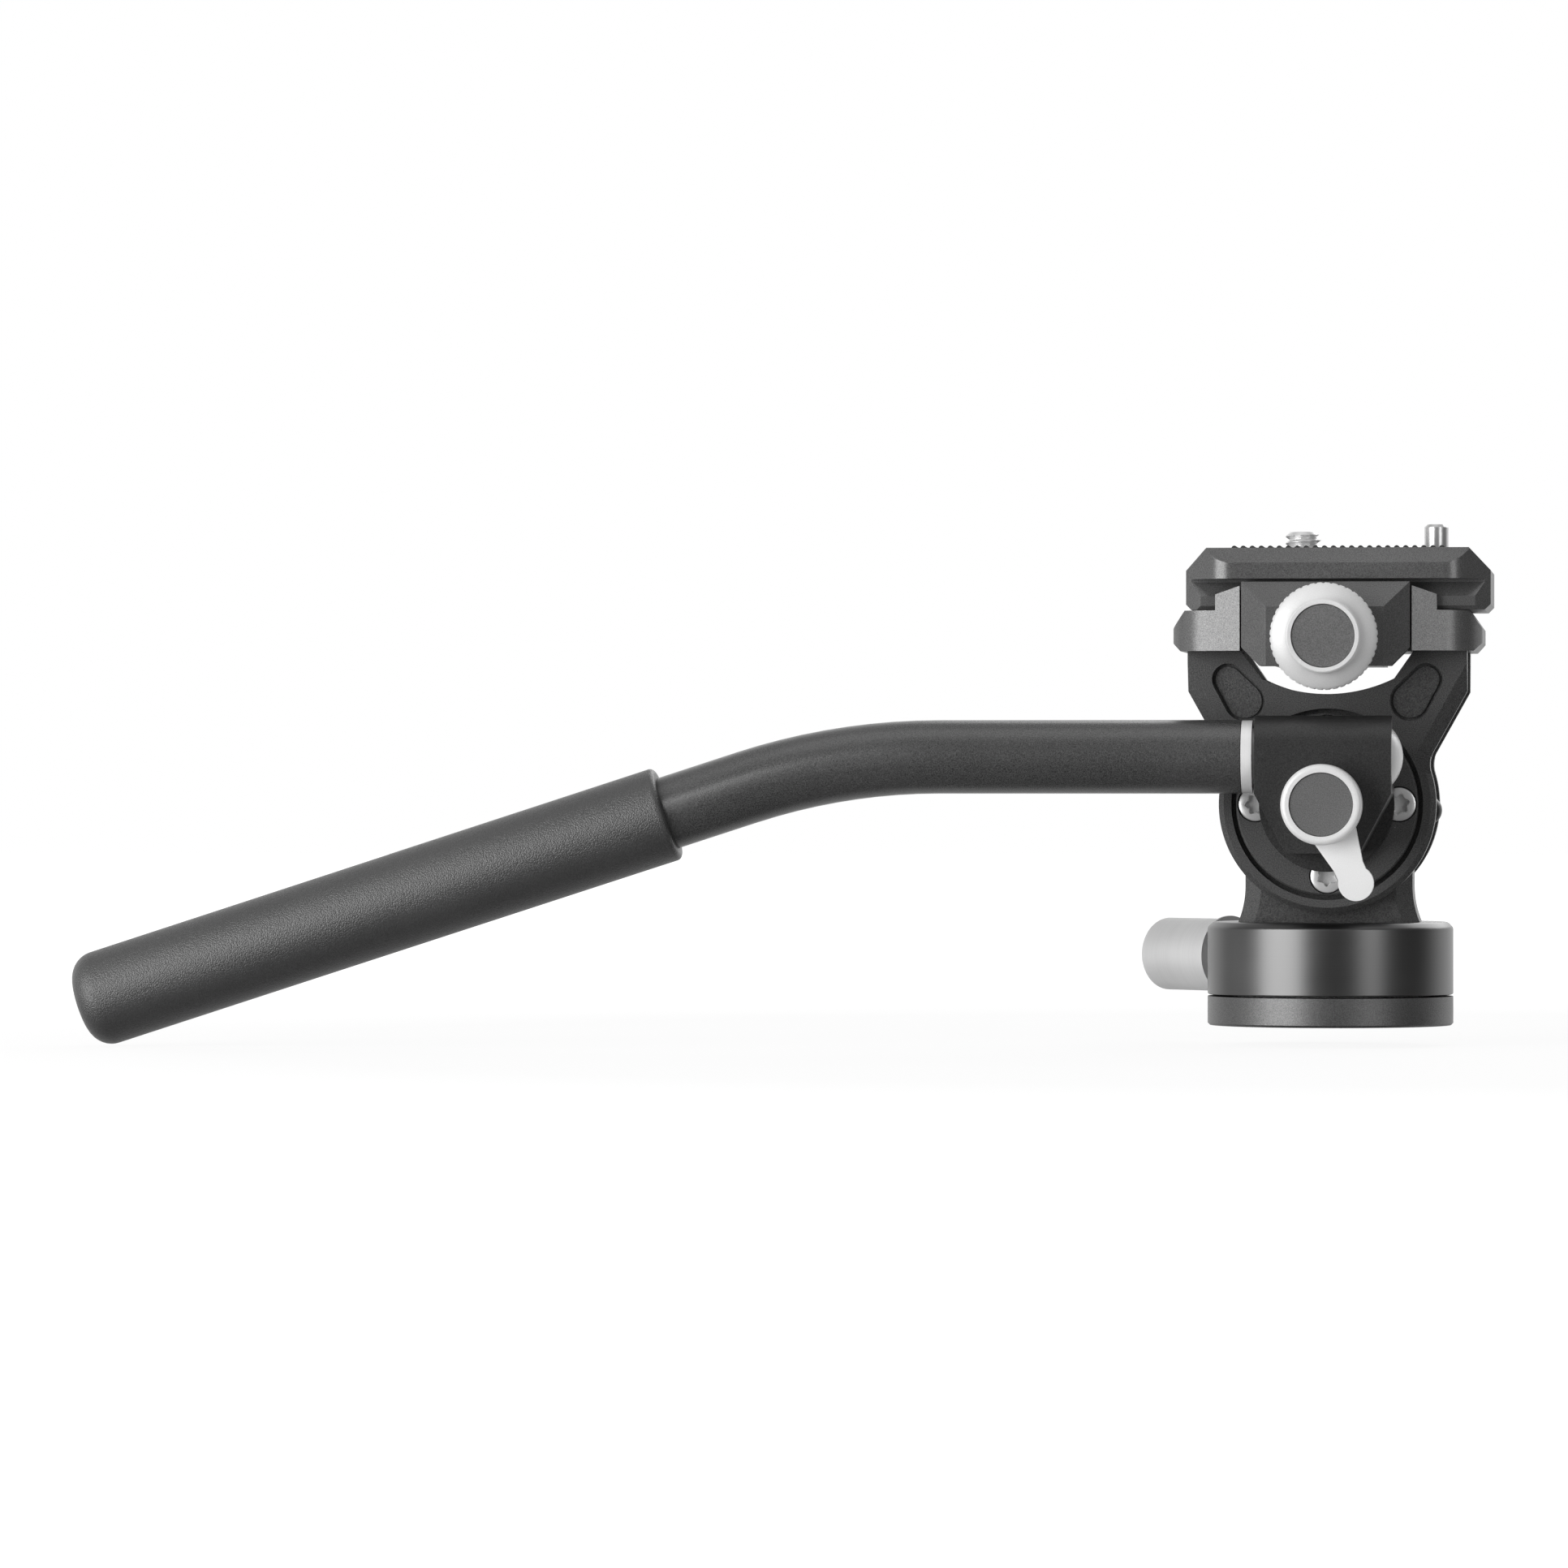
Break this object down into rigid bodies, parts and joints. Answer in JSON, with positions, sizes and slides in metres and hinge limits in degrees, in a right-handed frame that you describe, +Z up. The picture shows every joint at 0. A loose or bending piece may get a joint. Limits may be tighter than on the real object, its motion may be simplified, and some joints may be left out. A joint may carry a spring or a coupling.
{
  "type": "fluid video head",
  "caption": "Fluid video head with a bent pan handle, side tilt cheeks and a dovetail quick-release plate, for panning and tilting a camera on a tripod.",
  "frame": {"origin": "centre of the base's underside, at the mouth of the tripod thread", "axes": "+Z up along the pan axis, +X forward where the lens points, handle towards -X, handle side -Y"},
  "size_m": [0.2523, 0.0785, 0.0929],
  "materials": {
    "black_metal": "matte black anodised",
    "grey_metal": "dark grey anodised, turned",
    "plate_metal": "dark grey anodised",
    "silver_metal": "bead-blasted, clear anodised",
    "lock_metal": "satin turned",
    "insert_metal": "dark satin, spun",
    "steel": "bright turned",
    "dark_steel": "oiled",
    "tube_metal": "black powder coat",
    "grip_rubber": "pebbled",
    "pad_rubber": "ribbed",
    "seal_rubber": "smooth",
    "bush_bronze": "machined",
    "washer_plastic": "smooth",
    "plug_plastic": "domed"
  },
  "bodies": {
    "base": {"base_plate": "grey_metal", "tripod_bushing": "steel", "pan_retaining_nut": "dark_steel"},
    "pan": {"pan_housing": "grey_metal", "pan_bush": "bush_bronze", "pan_thrust_washer": "washer_plastic", "pan_drag_washer": "washer_plastic", "pan_lock_pad": "washer_plastic", "stand": "black_metal", "stand_screws": "dark_steel", "tilt_bush_near": "bush_bronze", "tilt_bush_far": "bush_bronze", "grease_seals": "seal_rubber", "grease_plug": "plug_plastic"},
    "pan_lock": {"pan_lock_knob": "lock_metal", "pan_lock_screw": "steel"},
    "tilt": {"tilt_axle": "steel", "damper_rotor": "dark_steel", "friction_washers": "washer_plastic", "cheek_near": "black_metal", "cheek_far": "black_metal", "hub_cap_near": "black_metal", "hub_cap_far": "black_metal", "hub_screws_near": "steel", "hub_screws_far": "steel", "platform": "plate_metal", "platform_screws": "dark_steel", "jaw_springs": "steel"},
    "tilt_lock": {"tilt_lock_knob": "lock_metal", "tilt_lock_screw": "steel"},
    "jaw": {"clamp_jaw": "plate_metal", "jaw_guide_pins": "steel"},
    "jaw_knob": {"clamp_knob": "silver_metal", "clamp_knob_insert": "insert_metal", "clamp_screw": "steel"},
    "plate": {"quick_plate": "plate_metal", "plate_pad": "pad_rubber", "pin_spring": "steel", "pin_plug": "dark_steel"},
    "stud": {"camera_screw": "steel"},
    "pin": {"video_pin": "steel"},
    "handle": {"handle_block": "black_metal", "handle_spigot": "silver_metal", "handle_tube": "tube_metal", "handle_grip": "grip_rubber"},
    "lever": {"handle_lever": "silver_metal", "lever_insert": "insert_metal", "lever_screw": "steel"}
  },
  "joints": [
    {"name": "pan_turn", "type": "hinge", "parent": "base", "child": "pan", "pos_m": [0, 0, 0.012], "axis": [0, 0, 1], "continuous": true},
    {"name": "pan_lock_turn", "type": "hinge", "parent": "pan", "child": "pan_lock", "pos_m": [-0.02121, 0.02121, 0.0121], "axis": [-0.7071, 0.7071, 0], "range_deg": [0, 270]},
    {"name": "tilt_turn", "type": "hinge", "parent": "pan", "child": "tilt", "pos_m": [0, 0, 0.0396], "axis": [0, 1, 0], "range_deg": [-60, 80]},
    {"name": "tilt_lock_turn", "type": "hinge", "parent": "tilt", "child": "tilt_lock", "pos_m": [0, 0.02, 0.0396], "axis": [0, 1, 0], "range_deg": [0, 270]},
    {"name": "handle_angle", "type": "hinge", "parent": "tilt", "child": "handle", "pos_m": [0, -0.02, 0.0396], "axis": [0, 1, 0], "range_deg": [-60, 30]},
    {"name": "lever_turn", "type": "hinge", "parent": "handle", "child": "lever", "pos_m": [0, -0.039, 0.0396], "axis": [0, -1, 0], "range_deg": [0, 120]},
    {"name": "jaw_slide", "type": "slide", "parent": "tilt", "child": "jaw", "axis": [0, -1, 0], "range_m": [0, 0.0024], "deforming": ["jaw_springs"]},
    {"name": "jaw_knob_turn", "type": "hinge", "parent": "jaw", "child": "jaw_knob", "pos_m": [0, -0.031, 0.0692], "axis": [0, -1, 0], "range_deg": [0, 1080]},
    {"name": "plate_slide", "type": "slide", "parent": "tilt", "child": "plate", "axis": [1, 0, 0], "range_m": [-0.01, 0.01]},
    {"name": "stud_turn", "type": "hinge", "parent": "plate", "child": "stud", "pos_m": [-0.00485, 0, 0.0851], "axis": [0, 0, 1], "continuous": true},
    {"name": "pin_press", "type": "slide", "parent": "plate", "child": "pin", "axis": [0, 0, -1], "range_m": [0, 0.0036], "stiffness_N_per_m": 300, "springref_m": -0.003, "deforming": ["pin_spring"]}
  ],
  "couplings": [
    {"joint": "jaw_knob_turn", "follows": "jaw_slide", "rad_per_m": 7854}
  ]
}
